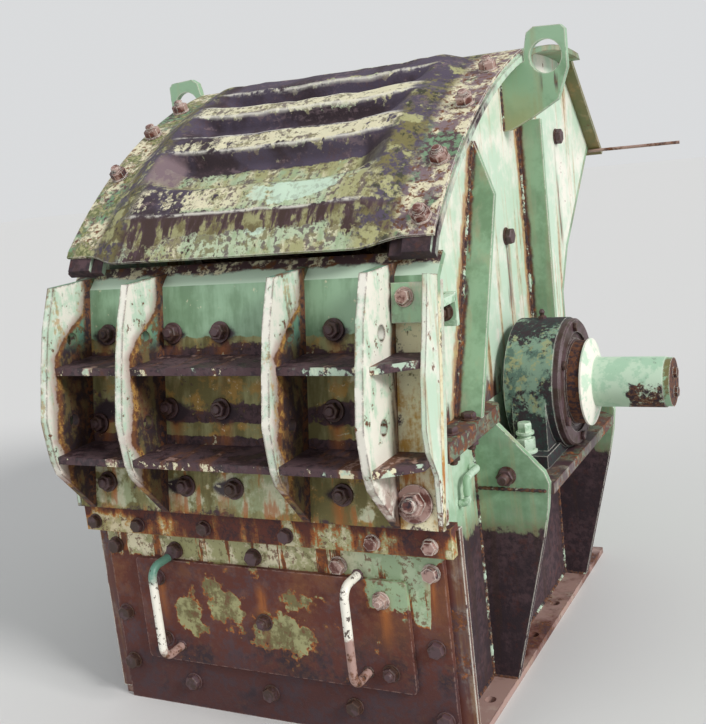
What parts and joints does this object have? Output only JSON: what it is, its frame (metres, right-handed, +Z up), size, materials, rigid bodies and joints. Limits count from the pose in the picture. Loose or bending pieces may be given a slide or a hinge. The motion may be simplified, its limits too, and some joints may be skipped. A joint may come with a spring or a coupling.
{
  "type": "impact mill",
  "caption": "Horizontal-shaft impact mill with a swaged curved cover, ribbed front panel, bolted access door, bearing pedestals, lifting lugs and a sloping feed inlet.",
  "frame": {"origin": "on the floor, at the centre of the four corner anchor holes, straight below the middle of the shaft", "axes": "+X along the rotor shaft towards the drive end, +Y from the ribbed front towards the inlet, +Z up"},
  "size_m": [1.159, 1.4013, 1.2553],
  "materials": {
    "body_paint": "weathered mint paint with rust",
    "panel_paint": "mint paint over purple-brown rust",
    "cover_paint": "chipped paint, rust and moss",
    "rusted_plate": "dark rust with traces of paint",
    "casting": "painted casting, dirty",
    "shaft_steel": "painted and rusted steel",
    "wear_steel": "worn and rusted"
  },
  "bodies": {
    "housing": {"lower_wall_right": "body_paint", "lower_wall_left": "body_paint", "upper_wall_right": "body_paint", "upper_wall_left": "body_paint", "lifting_lug_right": "body_paint", "lifting_lug_left": "body_paint", "pedestal_shelf_right": "rusted_plate", "pedestal_shelf_left": "rusted_plate", "bearing_housing_right": "casting", "bearing_housing_left": "casting", "bearing_cap_right": "casting", "bearing_cap_left": "casting", "arch_flanges": "rusted_plate", "panel_seats": "body_paint", "panel_ends": "panel_paint", "corner_bars": "rusted_plate", "base_flanges": "rusted_plate", "split_flange_lower": "rusted_plate", "split_flange_upper": "rusted_plate", "stiffeners": "body_paint", "pedestal_gussets": "body_paint", "door_handles": "body_paint", "lower_front_plate": "rusted_plate", "lower_rear_plate": "body_paint", "upper_rear_plate": "body_paint", "front_bar": "rusted_plate", "access_door": "rusted_plate", "panel_plate": "panel_paint", "panel_ribs": "panel_paint", "panel_shelf_upper": "panel_paint", "panel_shelf_lower": "panel_paint", "clamp_plate": "panel_paint", "liner_plates": "wear_steel", "top_cover": "cover_paint", "top_plate": "body_paint", "inlet_flange": "body_paint", "flange_rod": "wear_steel"},
    "rotor": {"drive_shaft": "shaft_steel", "shaft_collar": "casting", "shaft_end_plate": "shaft_steel", "rotor_body": "wear_steel", "blow_bars": "wear_steel"}
  },
  "joints": [
    {"name": "rotor_spin", "type": "hinge", "parent": "housing", "child": "rotor", "pos_m": [0, 0, 0.544], "axis": [1, 0, 0], "continuous": true}
  ]
}
